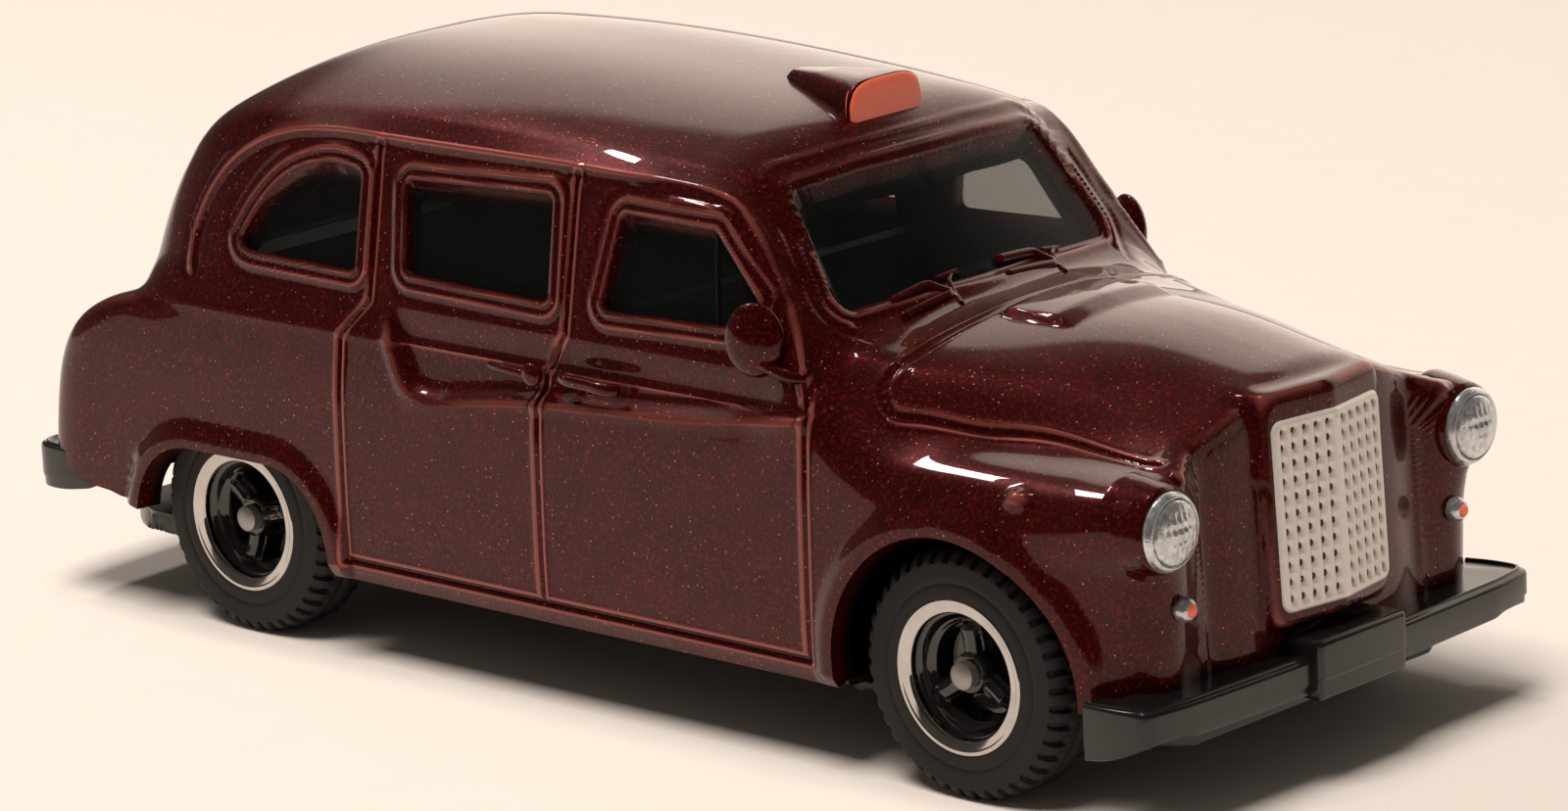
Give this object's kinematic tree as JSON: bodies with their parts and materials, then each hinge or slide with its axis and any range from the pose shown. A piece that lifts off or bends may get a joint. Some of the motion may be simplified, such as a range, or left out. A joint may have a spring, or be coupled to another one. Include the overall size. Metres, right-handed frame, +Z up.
{
  "type": "die-cast toy taxi cab",
  "caption": "Die-cast toy of a purpose-built taxi cab: hollow cast body, clear window insert, black interior, black base with both bumpers, and wheels that roll on steel axles.",
  "frame": {"origin": "on the floor under the middle of the car's length and width", "axes": "+X towards the nose, +Y to the car's left, +Z up"},
  "size_m": [0.0722, 0.0276, 0.0281],
  "materials": {
    "candy_paint": "glossy dark red metallic paint on zinc casting",
    "clear_glazing": "clear polished plastic",
    "interior_plastic": "fine matt black",
    "base_plastic": "satin black moulding",
    "axle_steel": "bright drawn wire",
    "rivet_metal": "bare spun metal",
    "tyre_rubber": "matt charcoal rubber",
    "chrome_rim": "bright plated",
    "black_hub": "gloss black moulding"
  },
  "bodies": {
    "root": {"body_casting": "candy_paint", "window_glazing": "clear_glazing", "interior_tub": "interior_plastic", "base_plate": "base_plastic", "front_axle": "axle_steel", "rear_axle": "axle_steel", "front_rivet": "rivet_metal", "rear_rivet": "rivet_metal"},
    "front_right_wheel": {"front_right_tyre": "tyre_rubber", "front_right_rim": "chrome_rim", "front_right_hub": "black_hub"},
    "front_left_wheel": {"front_left_tyre": "tyre_rubber", "front_left_rim": "chrome_rim", "front_left_hub": "black_hub"},
    "rear_right_wheel": {"rear_right_tyre": "tyre_rubber", "rear_right_rim": "chrome_rim", "rear_right_hub": "black_hub"},
    "rear_left_wheel": {"rear_left_tyre": "tyre_rubber", "rear_left_rim": "chrome_rim", "rear_left_hub": "black_hub"}
  },
  "joints": [
    {"name": "front_right_roll", "type": "hinge", "parent": "root", "child": "front_right_wheel", "pos_m": [0.0243, -0.0113, 0.00555], "axis": [0, 1, 0], "continuous": true},
    {"name": "front_left_roll", "type": "hinge", "parent": "root", "child": "front_left_wheel", "pos_m": [0.0243, 0.0113, 0.00555], "axis": [0, 1, 0], "continuous": true},
    {"name": "rear_right_roll", "type": "hinge", "parent": "root", "child": "rear_right_wheel", "pos_m": [-0.0207, -0.011, 0.00555], "axis": [0, 1, 0], "continuous": true},
    {"name": "rear_left_roll", "type": "hinge", "parent": "root", "child": "rear_left_wheel", "pos_m": [-0.0207, 0.011, 0.00555], "axis": [0, 1, 0], "continuous": true}
  ]
}
